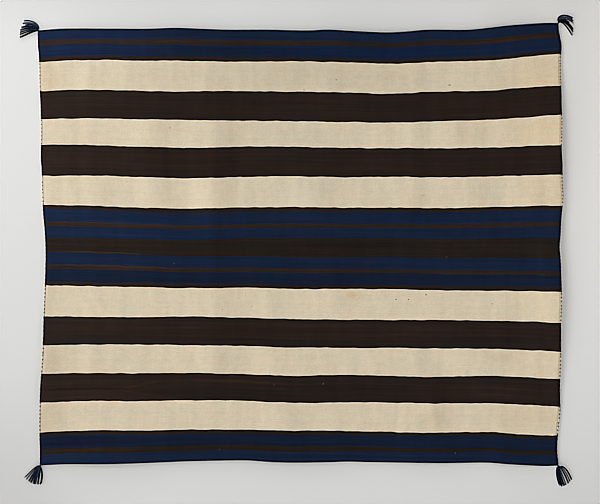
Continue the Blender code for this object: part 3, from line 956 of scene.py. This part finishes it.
tasselFinish = makeTasselFinish()
tasselPieces = {}
for name, (corner, firstRoot, lastRoot, locks) in tassels["corners"].items():
    maker = Maker()
    centre = knotPlace(corner)
    addKnot(maker, centre)
    for number, (strands, tone, *handles) in enumerate(locks):
        root = (centre.xy, Vector(firstRoot).lerp(Vector(lastRoot), number / (len(locks) - 1)))
        for k, line in enumerate(lockLines(root, number, strands, handles)):
            spot = (number * 1.37, k * 2.3, corner[0] * 5.1 + corner[1] * 3.7)
            shade = min(max(tone + 0.12 * noise.noise(Vector(spot)), 0.0), 1.0)
            addYarn(maker, line, tassels["yarn"], shade, number * 0.3 + k * 0.41, tassels["fray"])
    tasselPieces[name] = maker.make("tassel" + name.title().replace("_", ""), tasselFinish, "yarn")
print("tassels made")


# what stands for which node

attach(webPiece, "root")
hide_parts("web")
for side, piece in cordPieces.items():
    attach(piece, "root")
    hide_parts("cord_" + side)
for piece in turnPieces.values():
    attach(piece, "root")
for name, piece in tasselPieces.items():
    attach(piece, "root")
    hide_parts("tassel_" + name)


# floor, lights and camera

studio = {
    "floorSize": 14.0,
    "floorLevel": -0.4 * mm,
    "floorColour": (0.75, 0.748, 0.735),
    # place, size in metres and power in watts
    "lights": {
        "top": ((0.0, 0.0, 5.20), (2.6, 2.2), 58.0),
        "left": ((-1.79, 0.65, 1.50), (1.6, 1.2), 15.3),
        "right": ((1.90, 0.00, 1.50), (1.6, 1.2), 11.8),
        "near": ((-0.69, -3.94, 1.20), (1.6, 1.2), 66.0),
        "far": ((-1.30, 3.94, 1.20), (1.6, 1.2), 70.0),
    },
    # the far soft light from the left that shades the folds: rise, turn towards the near edge and spread
    # in degrees, and strength
    "lowLight": (15, 20, 24, 1.30),
    "ambient": 0.12,
    "cameraHeight": 5.0,
    "photoMiddle": (-2.5 * mm, -17.2 * mm),
    "viewWidth": 2.073,
    "crispness": 0.165,
    # painted shade where the paper is darker and, below 0, painted light where it is lighter: the fade
    # along x, the fade along y, and how much
    "paintedShade": [((-0.2, -0.7), (0.70, 0.90), 0.05), ((-1.1, -0.3), (0.70, 0.90), 0.06),
             ((-0.6, -1.0), (-0.3, -0.8), 0.05), ((0.1, 0.7), (0.70, 0.90), -0.05),
             ((0.95, 1.05), (-0.5, 0.3), -0.05)],
    "paintedCornerShade": 0.07,  # painted shade in both lower corners
    "warmth": (1.0, 0.985, 0.965),  # towards the upper right
}


def makeFloor():
    paper = Finish("palePaper", 0.85, 0.1)
    point = paper.node("TexCoord", {}, {}, "Object")
    x, y = [paper.node("SeparateXYZ", {}, {0: point}, k) for k in (0, 1)]
    grain = paper.patches(x, y, 1.7, 1.7, 3.0) - 0.5
    base = paper.node("CombineColor", {}, dict(enumerate(studio["floorColour"])))
    # painted shade and light on the paper: darker lower corners, and the listed places darker or lighter
    paintedShade = y.fade(-0.35, -1.0) * (x * x).fade(0.2, 1.0) * studio["paintedCornerShade"]
    for fadeX, fadeY, share in studio["paintedShade"]:
        paintedShade = paintedShade + y.fade(*fadeY) * x.fade(*fadeX) * share
    base = paper.mixed(x.fade(0.1, 1.0) * y.fade(-0.7, 0.6), base, studio["warmth"], "MULTIPLY")
    paper.finishWith(paper.scaled(base, 1.0 + grain * 0.02 - paintedShade), grain, 0.1 * mm)
    half = studio["floorSize"] / 2
    corners = [(-half, -half, 0), (half, -half, 0), (half, half, 0), (-half, half, 0)]
    floor = makePiece("floor", corners, [(0, 1, 2, 3)], {}, paper.material)
    floor.location.z = studio["floorLevel"]
    return floor


def makeLights():
    for name, (place, size, power) in studio["lights"].items():
        lamp = bpy.data.lights.new(name, "AREA")
        lamp.shape = "RECTANGLE"
        lamp.size, lamp.size_y = size
        lamp.energy = power
        holder = placeObject(name, lamp)
        holder.location = place
        holder.rotation_euler = (-Vector(place)).to_track_quat("-Z", "Y").to_euler()
        holder.visible_camera = False
    rise, turn, spread, strength = studio["lowLight"]
    lamp = bpy.data.lights.new("lowLeft", "SUN")
    lamp.energy, lamp.angle = strength, math.radians(spread)
    holder = placeObject("lowLeft", lamp)
    holder.rotation_euler = (0, -math.radians(90 - rise), math.radians(turn))
    world = bpy.data.worlds.new("studio")
    world.use_nodes = True
    background = world.node_tree.nodes["Background"]
    background.inputs["Color"].default_value = (1.0, 1.0, 1.0, 1.0)
    background.inputs["Strength"].default_value = studio["ambient"]
    bpy.context.scene.world = world


def makeCamera():
    camera = bpy.data.cameras.new("camera")
    camera.lens = camera.sensor_width * studio["cameraHeight"] / studio["viewWidth"]
    camera.clip_end = 50.0
    holder = placeObject("camera", camera)
    x, y = studio["photoMiddle"]
    holder.location = (x + middleX, y + middleY, studio["cameraHeight"])
    bpy.context.scene.camera = holder


# the slight crispness of the photograph's edges
def makeCrisp():
    scene = bpy.context.scene
    scene.use_nodes = True
    tree = scene.node_tree
    tree.nodes.clear()
    kinds = ("RLayers", "Gamma", "Filter", "Gamma", "Composite")
    chain = [tree.nodes.new("CompositorNode" + kind) for kind in kinds]
    chain[1].inputs["Gamma"].default_value = 1 / 2.2
    chain[2].filter_type = "SHARPEN"
    chain[2].inputs["Fac"].default_value = studio["crispness"]
    chain[3].inputs["Gamma"].default_value = 2.2
    for first, second in zip(chain, chain[1:]):
        tree.links.new(first.outputs["Image"], second.inputs["Image"])


floor = makeFloor()
makeLights()
makeCamera()
makeCrisp()
bpy.context.scene.view_settings.view_transform = "Standard"
print("studio made")
